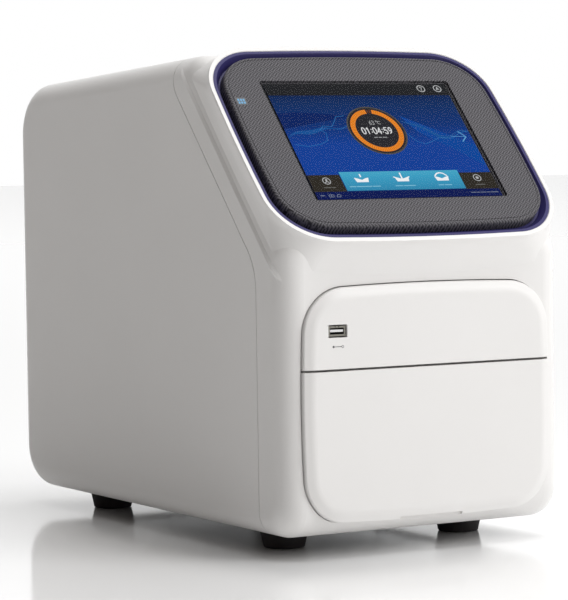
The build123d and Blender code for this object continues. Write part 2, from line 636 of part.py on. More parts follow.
def make_fan_guards():
    guards = []
    for x in (-FAN_X, FAN_X):
        guard = rod("y", x, FAN_Z, 4.5, 247.6, 249.2)
        for radius in (11, 17.5, 24, 30.5, 37):
            guard += rod("y", x, FAN_Z, radius + 0.7, 247.9, 249.3) - rod("y", x, FAN_Z, radius - 0.7, 247, 250)
        for angle in (45, 135, 225, 315):
            c, s = cos(radians(angle)), sin(radians(angle))
            guard += Pos(x, 0, FAN_Z) * Rot(0, angle, 0) * block(3, 49, 247.0, 248.4, -0.7, 0.7)
            guard += rod("y", x + c * 50.56, FAN_Z + s * 50.56, 3.4, PANEL[1], 248.4)
        guards.append(guard)
    return Compound(guards)


def make_inlet():
    flange = block(INLET_X - 25, INLET_X + 25, PANEL[1], 249.4, SOCKET_Z - 13, SOCKET_Z + 13)
    flange = fillet(flange.edges().filter_by(Axis.Y), 5)
    inlet = flange + block(INLET_X - 14, INLET_X + 14, 226, 248, SOCKET_Z - 10.5, SOCKET_Z + 10.5)
    hole = [(-12, -8.5), (12, -8.5), (12, 4), (7.5, 8.5), (-7.5, 8.5), (-12, 4)]
    cut = make_face(Polyline(*hole, close=True))
    plane = Plane(origin=(INLET_X, 260, SOCKET_Z), x_dir=(-1, 0, 0), z_dir=(0, 1, 0))
    inlet -= extrude(plane * cut, -27)
    pins = Compound([block(INLET_X + dx - 1, INLET_X + dx + 1, 230, 246.5, SOCKET_Z + dz - 2, SOCKET_Z + dz + 2)
                     for dx, dz in ((-7, -2), (0, 2), (7, -2))])
    return inlet - pins, pins


def make_switch():
    frame = block(SWITCH_X - 14.5, SWITCH_X + 14.5, PANEL[1], 249.0, SOCKET_Z - 16, SOCKET_Z + 16)
    frame += block(SWITCH_X - 12, SWITCH_X + 12, 228, 248, SOCKET_Z - 14, SOCKET_Z + 14)
    frame -= block(SWITCH_X - 9, SWITCH_X + 9, 234, 260, SOCKET_Z - 12, SOCKET_Z + 12)
    pts = [(-4, -4.0), (-1, -10.4), (4.0, -11.0), (2.2, 0), (4.0, 11.0), (-1, 10.4), (-4, 4.0)]
    pts = [(243.0 + y, SOCKET_Z + z) for y, z in pts]
    rocker = side_prism(pts, 8.6).moved(Location((SWITCH_X, 0, 0)))
    rocker += rod("x", 243.0, SOCKET_Z, 1.5, SWITCH_X - 8.9, SWITCH_X + 8.9)
    turn = Pos(SWITCH_X, 243.0, SOCKET_Z) * Rot(-8, 0, 0) * Pos(-SWITCH_X, -243.0, -SOCKET_Z)
    return frame, turn * rocker


def make_ethernet():
    jack = block(-8, 8, 228, 248.2, SOCKET_Z - 6.8, SOCKET_Z + 6.8)
    jack -= block(-6, 6, 233, 250, SOCKET_Z - 3.6, SOCKET_Z + 4.6)
    return jack - block(-3, 3, 233, 250, SOCKET_Z - 5.6, SOCKET_Z)


def make_screws():
    screws = []
    for x in (-94, 94):
        for z in (64.5, 317.5):
            head = rod("y", x, z, 3.2, PANEL[1], 249.2) - rod("y", x, z, 1.2, 248.2, 250)
            screws.append(head)
    for x in (-100, 100):
        for y in (-100, 0, 100):
            screws.append(rod("z", x, y, 3.4, 16.8, 19) - rod("z", x, y, 1.3, 16, 17.8))
    return Compound(screws)


# ================================================================ everything
def main():
    os.makedirs("parts", exist_ok=True)
    parts = {}
    parts["front_cover"], parts["rear_cover"] = make_covers()
    parts["base_plate"] = make_base_plate()
    parts["feet"] = make_feet()
    parts["frame_left"], parts["frame_right"] = make_frames()
    parts["optics_deck"] = make_deck()
    parts["accent_ring"] = make_ring()
    parts["display_bezel"] = make_bezel()
    parts.update(make_display_parts())
    parts["upper_fascia"], parts["drawer_front"] = make_fascias()
    here = Pos(USB_X, FASCIA_FRONT + 1.6, USB_Z)
    rear_here = Pos(20, 248.2, SOCKET_Z) * Rot(0, 0, 180)
    parts["usb_shells"] = Compound([here * usb_shell(), rear_here * usb_shell()])
    parts["usb_tongues"] = Compound([here * usb_tongue(), rear_here * usb_tongue()])
    parts["drawer_tray"] = make_tray()
    parts["outer_rails"], parts["inner_rails"] = make_rails()
    parts["drawer_rack"], parts["drive_pinion"] = make_rack(), make_pinion()
    parts["drawer_motor"] = make_drawer_motor()
    parts["sample_block"], parts["block_frame"] = make_sample_block(), make_block_frame()
    parts["block_seal"], parts["peltier_modules"] = make_block_seal(), make_peltiers()
    parts["heat_sink"] = make_heat_sink()
    parts["heated_cover_plate"], parts["cover_carriage"] = make_heated_plate(), make_carriage()
    parts["guide_rods"], parts["cover_motors"] = make_guide_rods(), make_cover_motors()
    parts["lead_screw_left"] = rod("z", -POST_X, BLOCK_Y, ROD_R, 137.5, DECK[1] + 15)
    parts["lead_screw_right"] = rod("z", POST_X, BLOCK_Y, ROD_R, 137.5, DECK[1] + 15)
    parts["field_lens"] = block(-66, 66, BLOCK_Y - 49, BLOCK_Y + 49, DECK[1], DECK[1] + 3)
    parts["optics_housing"] = make_optics_housing()
    parts["fold_mirror"] = tilted_plate(-162, 238, 32, 4)
    parts["beam_splitter"] = tilted_plate(SPLITTER_Y, AXIS_Z, 19, 1.6)
    wheel, glass = make_wheel()
    at_exc = Pos(-FILTER_CIRCLE, SPLITTER_Y, EXC_Z)
    at_emi = Pos(FILTER_CIRCLE, EMI_Y, AXIS_Z) * Rot(-90, 0, 0) * Rot(0, 0, 180)
    parts["excitation_wheel"], parts["excitation_filters"] = at_exc * wheel, at_exc * glass
    parts["emission_wheel"], parts["emission_filters"] = at_emi * wheel, at_emi * glass
    parts["filter_motors"] = Compound([Pos(-FILTER_CIRCLE, SPLITTER_Y, 289.5) * wheel_motor(),
                                       Pos(FILTER_CIRCLE, -32.5, AXIS_Z) * Rot(-90, 0, 0) * wheel_motor()])
    parts["filter_brackets"] = Compound([make_excitation_bracket(), make_emission_bracket()])
    parts["led_module"], parts["camera"] = make_led_module(), make_camera()
    parts["main_board"], parts["power_supply"] = make_main_board(), make_power_supply()
    parts["rear_panel"], parts["fan_frames"] = make_rear_panel(), make_fan_frames()
    parts["fan_rotor_left"], parts["fan_rotor_right"] = make_fan_rotor(-FAN_X), make_fan_rotor(FAN_X)
    parts["fan_guards"] = make_fan_guards()
    parts["power_inlet"], parts["inlet_pins"] = make_inlet()
    parts["switch_frame"], parts["power_switch"] = make_switch()
    parts["ethernet_jack"] = make_ethernet()
    parts["cover_screws"] = make_screws()
    for name, shape in parts.items():
        export_step(shape, os.path.join("parts", name + ".step"))
    print(len(parts), "parts")


main()
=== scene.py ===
"""Looks for the thermal cycler: materials, the lit display, small trim, floor, lights and camera."""

import math

import bpy
from mathutils import Matrix, Vector

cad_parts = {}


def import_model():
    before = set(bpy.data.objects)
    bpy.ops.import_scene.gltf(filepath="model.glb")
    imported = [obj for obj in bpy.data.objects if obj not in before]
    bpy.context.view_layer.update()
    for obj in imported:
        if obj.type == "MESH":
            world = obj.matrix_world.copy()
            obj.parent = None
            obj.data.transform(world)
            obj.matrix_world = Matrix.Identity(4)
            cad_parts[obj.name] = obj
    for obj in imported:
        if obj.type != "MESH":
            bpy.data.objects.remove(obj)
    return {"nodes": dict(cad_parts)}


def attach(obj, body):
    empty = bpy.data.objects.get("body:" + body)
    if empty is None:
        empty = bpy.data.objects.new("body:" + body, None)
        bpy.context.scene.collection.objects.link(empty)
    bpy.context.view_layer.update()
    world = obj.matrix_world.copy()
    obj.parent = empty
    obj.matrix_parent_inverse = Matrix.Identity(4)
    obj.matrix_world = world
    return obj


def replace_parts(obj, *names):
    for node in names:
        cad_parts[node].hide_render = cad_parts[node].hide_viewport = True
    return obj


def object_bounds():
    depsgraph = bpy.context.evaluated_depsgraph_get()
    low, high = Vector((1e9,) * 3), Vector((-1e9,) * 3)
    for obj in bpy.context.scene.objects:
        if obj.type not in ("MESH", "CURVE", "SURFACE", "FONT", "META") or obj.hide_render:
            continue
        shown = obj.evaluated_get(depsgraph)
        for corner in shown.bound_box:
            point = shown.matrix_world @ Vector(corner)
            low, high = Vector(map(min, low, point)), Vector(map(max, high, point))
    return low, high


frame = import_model()
CAD_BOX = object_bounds()
NODES = frame["nodes"]
scene = bpy.context.scene
MM = 0.001

# ------------------------------------------------------------------ the display plane
TILT = math.radians(46.96)
SLANT_O = Vector((0, -179.57, 324.18)) * MM
SLANT_UP = Vector((0, math.cos(TILT), math.sin(TILT)))
SLANT_N = Vector((0, -math.sin(TILT), math.cos(TILT)))


def slant(u, v, depth):
    """Point on the display plane's axes, in millimetres, depth below the plane."""
    return SLANT_O + Vector((u * MM, 0, 0)) + SLANT_UP * (v * MM) - SLANT_N * (depth * MM)


# ------------------------------------------------------------------ materials
def shader(name, color, rough=0.5, metal=0.0, coat=0.0, coat_rough=0.1, spec=0.5, alpha=1.0,
           transmission=0.0, ior=1.45, emission=None, strength=0.0):
    mat = bpy.data.materials.new(name)
    mat.use_nodes = True
    s = mat.node_tree.nodes["Principled BSDF"]
    s.inputs["Base Color"].default_value = (*color, 1)
    s.inputs["Roughness"].default_value = rough
    s.inputs["Metallic"].default_value = metal
    s.inputs["Coat Weight"].default_value = coat
    s.inputs["Coat Roughness"].default_value = coat_rough
    s.inputs["Specular IOR Level"].default_value = spec
    s.inputs["Alpha"].default_value = alpha
    s.inputs["Transmission Weight"].default_value = transmission
    s.inputs["IOR"].default_value = ior
    if emission:
        s.inputs["Emission Color"].default_value = (*emission, 1)
        s.inputs["Emission Strength"].default_value = strength
    return mat


def add(mat, kind, **sockets):
    node = mat.node_tree.nodes.new(kind)
    for key, value in sockets.items():
        node.inputs[key.replace("_", " ")].default_value = value
    return node


def link(mat, a, out, b, socket):
    mat.node_tree.links.new(a.outputs[out], b.inputs[socket])


def place(mat, scale=(1, 1, 1)):
    coords = mat.node_tree.nodes.new("ShaderNodeTexCoord")
    mapping = add(mat, "ShaderNodeMapping", Scale=scale)
    link(mat, coords, "Object", mapping, "Vector")
    return mapping


def ramp(mat, source, out, stops):
    node = mat.node_tree.nodes.new("ShaderNodeValToRGB")
    while len(node.color_ramp.elements) < len(stops):
        node.color_ramp.elements.new(0.5)
    for element, (position, color) in zip(node.color_ramp.elements, stops):
        element.position = position
        element.color = (*color, 1)
    link(mat, source, out, node, "Fac")
    return node


def rough_range(mat, source, out, low, high):
    node = add(mat, "ShaderNodeMapRange", To_Min=low, To_Max=high)
    link(mat, source, out, node, "Value")
    link(mat, node, "Result", mat.node_tree.nodes["Principled BSDF"], "Roughness")


def bump(mat, source, out, strength, distance, previous=None):
    node = add(mat, "ShaderNodeBump", Strength=strength, Distance=distance)
    link(mat, source, out, node, "Height")
    if previous:
        link(mat, previous, "Normal", node, "Normal")
    link(mat, node, "Normal", mat.node_tree.nodes["Principled BSDF"], "Normal")
    return node


def moulded(name, color, rough, grain=0.0006, depth=0.00002, strength=0.25, tone=0.03, **more):
    """Moulded plastic: fine grain in the surface, slow variation of tone and gloss."""
    mat = shader(name, color, rough, **more)
    s = mat.node_tree.nodes["Principled BSDF"]
    at = place(mat)
    slow = add(mat, "ShaderNodeTexNoise", Scale=9.0, Detail=3.0)
    fine = add(mat, "ShaderNodeTexNoise", Scale=1 / grain, Detail=2.0)
    link(mat, at, "Vector", slow, "Vector")
    link(mat, at, "Vector", fine, "Vector")
    dark = tuple(c * (1 - tone) for c in color)
    light = tuple(min(1.0, c * (1 + tone)) for c in color)
    tint = ramp(mat, slow, "Fac", [(0.35, dark), (0.65, light)])
    link(mat, tint, "Color", s, "Base Color")
    rough_range(mat, slow, "Fac", rough * 0.93, rough * 1.07)
    bump(mat, fine, "Fac", strength, depth)
    return mat


def woven(name, dark, light, rough, cell=0.0042):
    """Moulded plastic etched with a fine basket weave on the display's slope."""
    mat = shader(name, dark, rough, spec=0.35)
    s = mat.node_tree.nodes["Principled BSDF"]
    at = place(mat)
    at.inputs["Rotation"].default_value = (-TILT, 0, math.pi / 4)
    cells = add(mat, "ShaderNodeTexChecker", Scale=1 / cell)
    link(mat, at, "Vector", cells, "Vector")
    waves = []
    for direction in ("X", "Y"):
        wave = add(mat, "ShaderNodeTexWave", Scale=2 * math.pi / (20 * cell / 2), Distortion=0.6)
        wave.wave_type, wave.bands_direction = "BANDS", direction
        link(mat, at, "Vector", wave, "Vector")
        waves.append(wave)
    weave = add(mat, "ShaderNodeMix")
    weave.data_type = "FLOAT"
    link(mat, cells, "Fac", weave, 0)
    link(mat, waves[0], "Fac", weave, 2)
    link(mat, waves[1], "Fac", weave, 3)
    soft = add(mat, "ShaderNodeTexNoise", Scale=700.0, Detail=2.0)
    link(mat, at, "Vector", soft, "Vector")
    tint = ramp(mat, weave, 0, [(0.15, dark), (0.75, light)])
    link(mat, tint, "Color", s, "Base Color")
    rough_range(mat, soft, "Fac", rough * 0.85, rough * 1.1)
    bump(mat, weave, 0, 0.35, 0.00015)
    return mat


def metal(name, color, rough, grain=(1, 1, 1), strength=0.15, weight=1.0):
    """Worked metal: directional grain in gloss and surface."""
    mat = shader(name, color, rough, metal=weight)
    s = mat.node_tree.nodes["Principled BSDF"]
    at = place(mat, grain)
    lines = add(mat, "ShaderNodeTexNoise", Scale=260.0, Detail=4.0)
    slow = add(mat, "ShaderNodeTexNoise", Scale=14.0, Detail=2.0)
    link(mat, at, "Vector", lines, "Vector")
    link(mat, at, "Vector", slow, "Vector")
    tint = ramp(mat, slow, "Fac", [(0.3, tuple(c * 0.9 for c in color)), (0.7, color)])
    link(mat, tint, "Color", s, "Base Color")
    rough_range(mat, lines, "Fac", rough * 0.75, rough * 1.3)
    bump(mat, lines, "Fac", strength, 0.00003)
    return mat


def threaded(name, color, rough, pitch=0.002):
    """Bright steel with a fine thread along z; the thread's grooves are darkened in colour, a painted shade."""
    mat = metal(name, color, rough, (1, 1, 0.1))
    s = mat.node_tree.nodes["Principled BSDF"]
    wave = add(mat, "ShaderNodeTexWave", Scale=2 * math.pi / (20 * pitch), Distortion=0.0)
    wave.wave_type, wave.bands_direction = "BANDS", "Z"
    link(mat, place(mat), "Vector", wave, "Vector")
    # painted shade: the colour drops to about a third in the thread's grooves, where shade falls
    tint = ramp(mat, wave, "Fac", [(0.1, tuple(c * 0.35 for c in color)), (0.7, color)])
    link(mat, tint, "Color", s, "Base Color")
    bump(mat, wave, "Fac", 0.8, 0.0005)
    return mat


M = {
    "white": moulded("white_plastic", (0.81, 0.798, 0.785), 0.38, coat=0.12, coat_rough=0.25, tone=0.008),
    "bezel": woven("bezel_plastic", (0.018, 0.017, 0.021), (0.120, 0.115, 0.127), 0.62),
    "rim": moulded("bezel_rim", (0.09, 0.09, 0.095), 0.4),
    "ring": moulded("indigo_plastic", (0.032, 0.027, 0.125), 0.36, coat=0.08, coat_rough=0.2, spec=0.28, tone=0.05),
    "dark": moulded("dark_plastic", (0.022, 0.022, 0.024), 0.45),
    "gloss_black": moulded("black_gloss", (0.012, 0.012, 0.013), 0.18, strength=0.05),
    "rubber": moulded("rubber_feet", (0.028, 0.024, 0.025), 0.75, grain=0.0009, strength=0.4, tone=0.15),
    "silicone": moulded("silicone_seal", (0.30, 0.29, 0.27), 0.6),
    "steel": metal("zinc_steel", (0.56, 0.57, 0.58), 0.36, (1, 0.06, 1)),
    "bright": metal("ground_steel", (0.66, 0.66, 0.67), 0.22, (1, 1, 0.1)),
    "aluminium": metal("machined_aluminium", (0.72, 0.73, 0.74), 0.30, (0.08, 1, 1)),
    "anodised": metal("black_anodised", (0.03, 0.03, 0.034), 0.42, weight=0.6),
    "ceramic": moulded("white_ceramic", (0.82, 0.82, 0.80), 0.5),
    "lens": shader("clear_lens", (0.85, 0.93, 0.96), 0.04, transmission=0.9, alpha=0.5),
    "mirror": shader("front_mirror", (0.85, 0.86, 0.88), 0.03, metal=1.0),
    "filter": shader("filter_glass", (0.25, 0.45, 0.70), 0.05, transmission=0.6, alpha=0.7),
    "board": moulded("circuit_board", (0.016, 0.12, 0.055), 0.35, coat=0.4, tone=0.2),
    "brass": metal("plated_brass", (0.72, 0.56, 0.28), 0.25),
    "panel": moulded("powder_coat", (0.50, 0.50, 0.50), 0.5, grain=0.0005, strength=0.4),
    "insert": moulded("white_insert", (0.84, 0.84, 0.85), 0.3),
    "plated": metal("socket_steel", (0.27, 0.26, 0.23), 0.30, strength=0.06),
    "thread": threaded("screw_thread", (0.62, 0.62, 0.63), 0.26),
}
LOOK = {
    "white": "front_cover rear_cover upper_fascia drawer_front",
    "bezel": "display_bezel", "ring": "accent_ring",
    "dark": "block_frame fan_frames power_inlet switch_frame fan_rotor_left fan_rotor_right excitation_wheel "
            "emission_wheel ethernet_jack display_module",
    "gloss_black": "power_switch", "rubber": "feet", "silicone": "block_seal",
    "steel": "base_plate frame_left frame_right optics_deck display_bracket drawer_tray outer_rails inner_rails "
             "filter_brackets power_supply",
    "bright": "guide_rods drive_pinion cover_screws fan_guards drawer_rack", "plated": "usb_shells",
    "thread": "lead_screw_left lead_screw_right",
    "aluminium": "sample_block heat_sink heated_cover_plate cover_carriage led_module",
    "anodised": "optics_housing drawer_motor cover_motors filter_motors camera",
    "ceramic": "peltier_modules", "lens": "field_lens touch_glass", "mirror": "fold_mirror",
    "filter": "beam_splitter excitation_filters emission_filters", "board": "display_board main_board",
    "brass": "inlet_pins", "panel": "rear_panel", "insert": "usb_tongues", "rim": "touch_key_window",
}
for key, names in LOOK.items():
    for name in names.split():
        NODES[name].data.materials.clear()
        NODES[name].data.materials.append(M[key])


# ------------------------------------------------------------------ the lit screen
def glow(name, color, strength=1.0):
    return shader(name, tuple(c * 0.06 for c in color), 0.35, spec=0.0, emission=color, strength=strength)


def mesh_piece(name, verts, faces, mat, body="chassis"):
    data = bpy.data.meshes.new(name)
    data.from_pydata([tuple(v) for v in verts], [], faces)
    data.update()
    obj = bpy.data.objects.new(name, data)
    scene.collection.objects.link(obj)
    data.materials.append(mat)
    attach(obj, body)
    return obj


def flat(name, shapes, depth, mat, to_world=slant, body="chassis"):
    """One piece of several flat polygons, each a list of (u, v), at one depth."""
    verts, faces = [], []
    for shape in shapes:
        start = len(verts)
        verts += [to_world(u, v, depth) for u, v in shape]
        faces.append(list(range(start, start + len(shape))))
    return mesh_piece(name, verts, faces, mat, body)


def rect(u0, u1, v0, v1):
    return [(u0, v0), (u1, v0), (u1, v1), (u0, v1)]


def disc(cu, cv, r, n=48):
    return [(cu + r * math.cos(2 * math.pi * k / n), cv + r * math.sin(2 * math.pi * k / n)) for k in range(n)]


def arc_band(cu, cv, r0, r1, a0, a1, n=48):
    """Quads of a ring sector, angles in degrees."""
    quads = []
    for k in range(n):
        b0, b1 = (math.radians(a0 + (a1 - a0) * j / n) for j in (k, k + 1))
        corners = ((r0, b0), (r1, b0), (r1, b1), (r0, b1))
        quads.append([(cu + r * math.cos(b), cv + r * math.sin(b)) for r, b in corners])
    return quads


def stroke(points, width):
    """Quads of a line with round joints."""
    shapes = []
    for (u0, v0), (u1, v1) in zip(points, points[1:]):
        length = math.hypot(u1 - u0, v1 - v0) or 1e-9
        nu, nv = -(v1 - v0) / length * width / 2, (u1 - u0) / length * width / 2
        shapes.append([(u0 - nu, v0 - nv), (u1 - nu, v1 - nv), (u1 + nu, v1 + nv), (u0 + nu, v0 + nv)])
    return shapes + [disc(u, v, width / 2, 10) for u, v in points]


DIGITS = {
    "0": [[(0.1, 0.25), (0.1, 0.75), (0.3, 1.0), (0.6, 1.0), (0.8, 0.75), (0.8, 0.25), (0.6, 0), (0.3, 0),
           (0.1, 0.25)]],
    "1": [[(0.2, 0.8), (0.5, 1.0), (0.5, 0)]],
    "3": [[(0.1, 0.85), (0.3, 1), (0.6, 1), (0.8, 0.78), (0.6, 0.55), (0.4, 0.55)],
          [(0.6, 0.55), (0.8, 0.27), (0.6, 0), (0.3, 0), (0.1, 0.17)]],
    "4": [[(0.65, 0), (0.65, 1), (0.08, 0.3), (0.85, 0.3)]],
    "5": [[(0.78, 1), (0.2, 1), (0.14, 0.55), (0.5, 0.62), (0.8, 0.35), (0.62, 0), (0.3, 0), (0.1, 0.15)]],
    "6": [[(0.7, 0.95), (0.35, 0.8), (0.1, 0.35), (0.3, 0), (0.6, 0), (0.8, 0.28), (0.6, 0.55), (0.3, 0.52),
           (0.12, 0.35)]],
    "9": [[(0.2, 0.05), (0.55, 0.2), (0.8, 0.65), (0.6, 1), (0.3, 1), (0.1, 0.72), (0.3, 0.45), (0.6, 0.48),
           (0.78, 0.65)]],
    ":": [[(0.45, 0.25), (0.45, 0.3)], [(0.45, 0.7), (0.45, 0.75)]],
}


def number(text, cu, cv, height, weight):
    """Digits centred on (cu, cv)."""
    advance = [0.55 if c == ":" else 1.0 for c in text]
    u, shapes = cu - sum(advance) * height * 0.62 / 2, []
    for c, step in zip(text, advance):
        shift = -0.2 if c == ":" else 0.0
        for line in DIGITS[c]:
            shapes += stroke([(u + (x + shift) * height * 0.6, cv + (y - 0.5) * height) for x, y in line], weight)
        u += step * height * 0.62
    return shapes


SU0, SU1, SV0, SV1 = -86.5, 85.5, -62.0, 64.0    # the lit picture
BAND_V = (-53.3, -33.2)      # height of the band of keys
D0, STEP = 1.62, 0.02        # depths: back of the picture, and one layer


def layer(n):
    """Depth of the picture's nth layer, counted from its back."""
    return D0 - n * STEP


def gradient(name, color, v0, v1, stops):
    """Glow that changes up the display between two heights on its plane."""
    mat = shader(name, color, 0.35, spec=0.0)
    s = mat.node_tree.nodes["Principled BSDF"]
    coords = mat.node_tree.nodes.new("ShaderNodeTexCoord")
    split = mat.node_tree.nodes.new("ShaderNodeSeparateXYZ")
    link(mat, coords, "Object", split, "Vector")
    height = add(mat, "ShaderNodeMapRange", From_Min=slant(0, v0, 0).z, From_Max=slant(0, v1, 0).z)
    link(mat, split, "Z", height, "Value")
    link(mat, ramp(mat, height, "Result", stops), "Color", s, "Emission Color")
    s.inputs["Emission Strength"].default_value = 1.0
    return mat


def screen_background():
    """Deep blue, lighter below."""
    return gradient("screen_blue", (0.004, 0.012, 0.05), SV0, SV1, [
        (0.0, (0.002, 0.008, 0.05)), (0.2, (0.003, 0.040, 0.27)), (0.45, (0.003, 0.040, 0.26)),
        (0.62, (0.002, 0.022, 0.13)), (0.80, (0.003, 0.018, 0.075)), (0.9, (0.002, 0.008, 0.035))])


def band_material():
    """Teal of the key band, lighter above."""
    return gradient("band_teal", (0.01, 0.06, 0.09), BAND_V[0], BAND_V[1], [
        (0.0, (0.022, 0.20, 0.36)), (0.6, (0.035, 0.29, 0.47)), (1.0, (0.06, 0.36, 0.52))])


def wave(mid, tall, phase, u0, u1, lean, n=60):
    """A thin smoky ribbon across the screen."""
    quads, last = [], None
    for k in range(n + 1):
        t = k / n
        u = u0 + (u1 - u0) * t
        v = mid + lean * t + tall * math.sin(phase + 5.3 * t) + 0.45 * tall * math.sin(2.1 * phase + 11 * t)
        w = 0.35 + 2.2 * abs(math.sin(phase * 1.7 + 3.4 * t)) * math.sin(math.pi * t)
        now = ((u, v - w), (u, v + w))
        if last:
            quads.append([last[0], now[0], now[1], last[1]])
        last = now
    return quads


def dial(cu, cv):
    flat("dial_face", [disc(cu, cv, 26.5, 96)], layer(3), glow("dial_dark", (0.022, 0.022, 0.026)))
    flat("dial_edge", arc_band(cu, cv, 25.2, 26.6, 0, 360, 96), layer(4),
         glow("dial_edge_glow", (0.075, 0.07, 0.065)))
    flat("dial_ring", arc_band(cu, cv, 18.9, 23.3, 95, 441, 120), layer(5),
         glow("dial_orange", (0.80, 0.24, 0.020)))
    ticks = []
    for k in range(72):
        a = 360 * k / 72
        ticks += arc_band(cu, cv, 19.5, 22.7, a, a + 0.9, 1)
    flat("dial_ticks", ticks, layer(6), glow("dial_tick_glow", (0.42, 0.10, 0.008)))
    white = glow("dial_white", (0.72, 0.73, 0.74))
    grey = glow("dial_grey", (0.42, 0.43, 0.44))
    flat("dial_timer", number("01:04:59", cu, cv - 0.3, 6.6, 0.95), layer(6), white)
    flat("dial_temperature", number("63", cu - 1.6, cv + 8.6, 4.2, 0.5)
         + arc_band(cu + 3.0, cv + 10.2, 0.5, 0.9, 0, 360, 16)
         + arc_band(cu + 5.6, cv + 8.6, 1.3, 1.8, 50, 310, 20), layer(6), grey)
    marks = [rect(cu + u0, cu + u1, cv - 8.2, cv - 7.2) for u0, u1 in ((-6, -2.6), (-1.8, 1.2), (2.0, 6))]
    flat("dial_marks", marks, layer(6), glow("dial_mark_glow", (0.30, 0.31, 0.32)))


def dashes(cu, v, lengths, tall=0.9, gap=0.7):
    u, shapes = cu - (sum(lengths) + gap * (len(lengths) - 1)) / 2, []
    for length in lengths:
        shapes.append(rect(u, u + length, v - tall / 2, v + tall / 2))
        u += length + gap
    return shapes


def tray_icon(cu, cv):
    """A plate carrier drawn as a filled dish."""
    dish = [(cu - 6.6, cv + 1.4), (cu - 5.4, cv - 3.4), (cu + 5.4, cv - 3.4), (cu + 6.6, cv + 1.4),
            (cu + 3.4, cv + 0.6),
            (cu, cv - 1.0), (cu - 3.4, cv + 0.6)]
    return [dish]


def backdrop():
    """The picture behind the dial: blue, a beam of light and two ribbons of smoke."""
    flat("screen_picture", [rect(SU0, SU1, SV0, SV1)], D0, screen_background())
    hills = [(SU0, 31), (-70, 32.4), (-45, 30.6), (-28, 28.6), (-20, 27.5), (SU0, 14)]
    flat("screen_horizon", [hills], layer(1), glow("screen_deep", (0.004, 0.018, 0.115)))
    beam = [(26, 28), (SU1, -6), (SU1, -30), (60, -8), (36, 10)]
    flat("screen_beam", [beam], layer(1), glow("screen_beam_glow", (0.004, 0.060, 0.31)))
    smoke = glow("screen_smoke", (0.010, 0.085, 0.30))
    pale = glow("screen_smoke_pale", (0.022, 0.16, 0.43))
    left = [(-83, -3), (-72, -5.2), (-60, -3), (-52, 1), (-50, 9), (-54, 13), (-50, 17), (-42, 16),
            (-38, 21), (-34, 27), (-26, 28)]
    right = [(25, 8), (31, -1), (38, -4), (46, -1), (54, 3), (66, 2), (76, 8), (SU1 - 1, 10)]
    flat("smoke_left", wave(1, 4.5, 0.4, SU0, -25, 22), layer(2), smoke)
    flat("smoke_left_thin", stroke(left, 0.5), layer(3), pale)
    flat("smoke_right", wave(20, 5.5, 2.2, 25, SU1, -17), layer(2), smoke)
    flat("smoke_right_thin", stroke(right, 0.5), layer(3), pale)
    arrow = stroke([(75.0, 9.2), (80, 3.4), (75.0, -1.6)], 1.1) + stroke([(66, 4.2), (79, 3.6)], 0.5)
    flat("screen_arrow", arrow, layer(4), glow("arrow_glow", (0.10, 0.33, 0.62)))


def top_bar(line):
    flat("screen_top_bar", [rect(SU0, SU1, 51, SV1)], layer(1), glow("bar_dark", (0.017, 0.018, 0.020)))
    icons = arc_band(61, 58.6, 3.1, 3.9, 0, 360, 40) + arc_band(77, 58.6, 3.1, 3.9, 0, 360, 40)
    icons += stroke([(61, 57.0), (61, 58.2), (62, 59.6), (61, 60.6), (60, 59.8)], 0.6)
    icons += [disc(61, 56.3, 0.4, 10)]
    icons += stroke([(75.6, 57.2), (77, 60.4), (78.4, 57.2)], 0.6) + stroke([(77, 57.2), (77, 59)], 0.6)
    flat("top_icons", icons, layer(2), line)


def keys(line):
    """Three keys with icons on a teal band, between two dark keys; their labels are blank dashes."""
    flat("key_left_right", [rect(SU0, -57, -54, -36), rect(54.2, SU1, -54, -36)], layer(1),
         glow("key_dark", (0.028, 0.024, 0.018)))
    flat("key_band", [rect(-56.4, 54.4, *BAND_V)], layer(2), band_material())
    icons = []
    for cu in (-38.5, -1, 36.5):
        icons += tray_icon(cu, -41)
    icons += stroke([(-38.5, -38.5), (-38.5, -36.2)], 1.3) + stroke([(-1, -41), (-1, -35.5)], 1.3)
    icons += stroke([(31, -39), (33.5, -36.6), (36.5, -35.8), (39.5, -36.6), (42, -39)], 1.2)
    icons += stroke([(-8, -39.6), (-4, -41.5), (-1, -42), (2, -41.5), (6, -39.6)], 1.2)
    flat("key_icons", icons, layer(3), glow("icon_white", (0.86, 0.88, 0.90)))
    rounds = arc_band(-71, -42.4, 3.0, 3.7, 0, 360, 36) + arc_band(70, -42.0, 3.0, 3.7, 0, 360, 36)
    rounds += [disc(-71, -41.4, 1.0, 16)] + stroke([(-72.6, -44), (-71, -42.8), (-69.4, -44)], 0.8)
    rounds += [disc(70, -42, 1.4, 16)]
    flat("key_round_icons", rounds, layer(2), line)
    labels = dashes(-38.5, -49, (6, 14, 7)) + dashes(-1, -49, (7, 11)) + dashes(36.5, -49, (5, 7))
    flat("key_labels", labels, layer(3), glow("label_glow", (0.22, 0.52, 0.66)))
    dim = dashes(-71, -49.4, (7, 3)) + dashes(70, -49.4, (9,))
    flat("key_labels_dark", dim, layer(2), glow("label_dim", (0.13, 0.13, 0.12)))


def status_bar():
    flat("screen_status", [rect(SU0, SU1, SV0, -54)], layer(1), glow("status_navy", (0.004, 0.010, 0.085)))
    house = [(-68.5, -59.4), (-65, -59.4), (-64.4, -57.6), (-66.6, -56.6), (-68.5, -59.4)]
    marks = arc_band(-74, -58.2, 1.0, 1.6, 0, 360, 20) + stroke([(-82.5, -57.8), (-79.5, -57.8)], 1.0)
    marks += stroke(house, 0.6) + arc_band(-72, -58.2, 1.0, 1.6, 0, 360, 20)
    marks += dashes(70, -57.8, (5, 3, 5, 4, 7), 0.8, 0.6)
    flat("status_icons", marks, layer(2), glow("status_glow", (0.16, 0.19, 0.27)))


def screen():
    backdrop()
    dial(-1.5, 11.5)
    line = glow("icon_line", (0.46, 0.47, 0.48))
    top_bar(line)
    keys(line)
    status_bar()


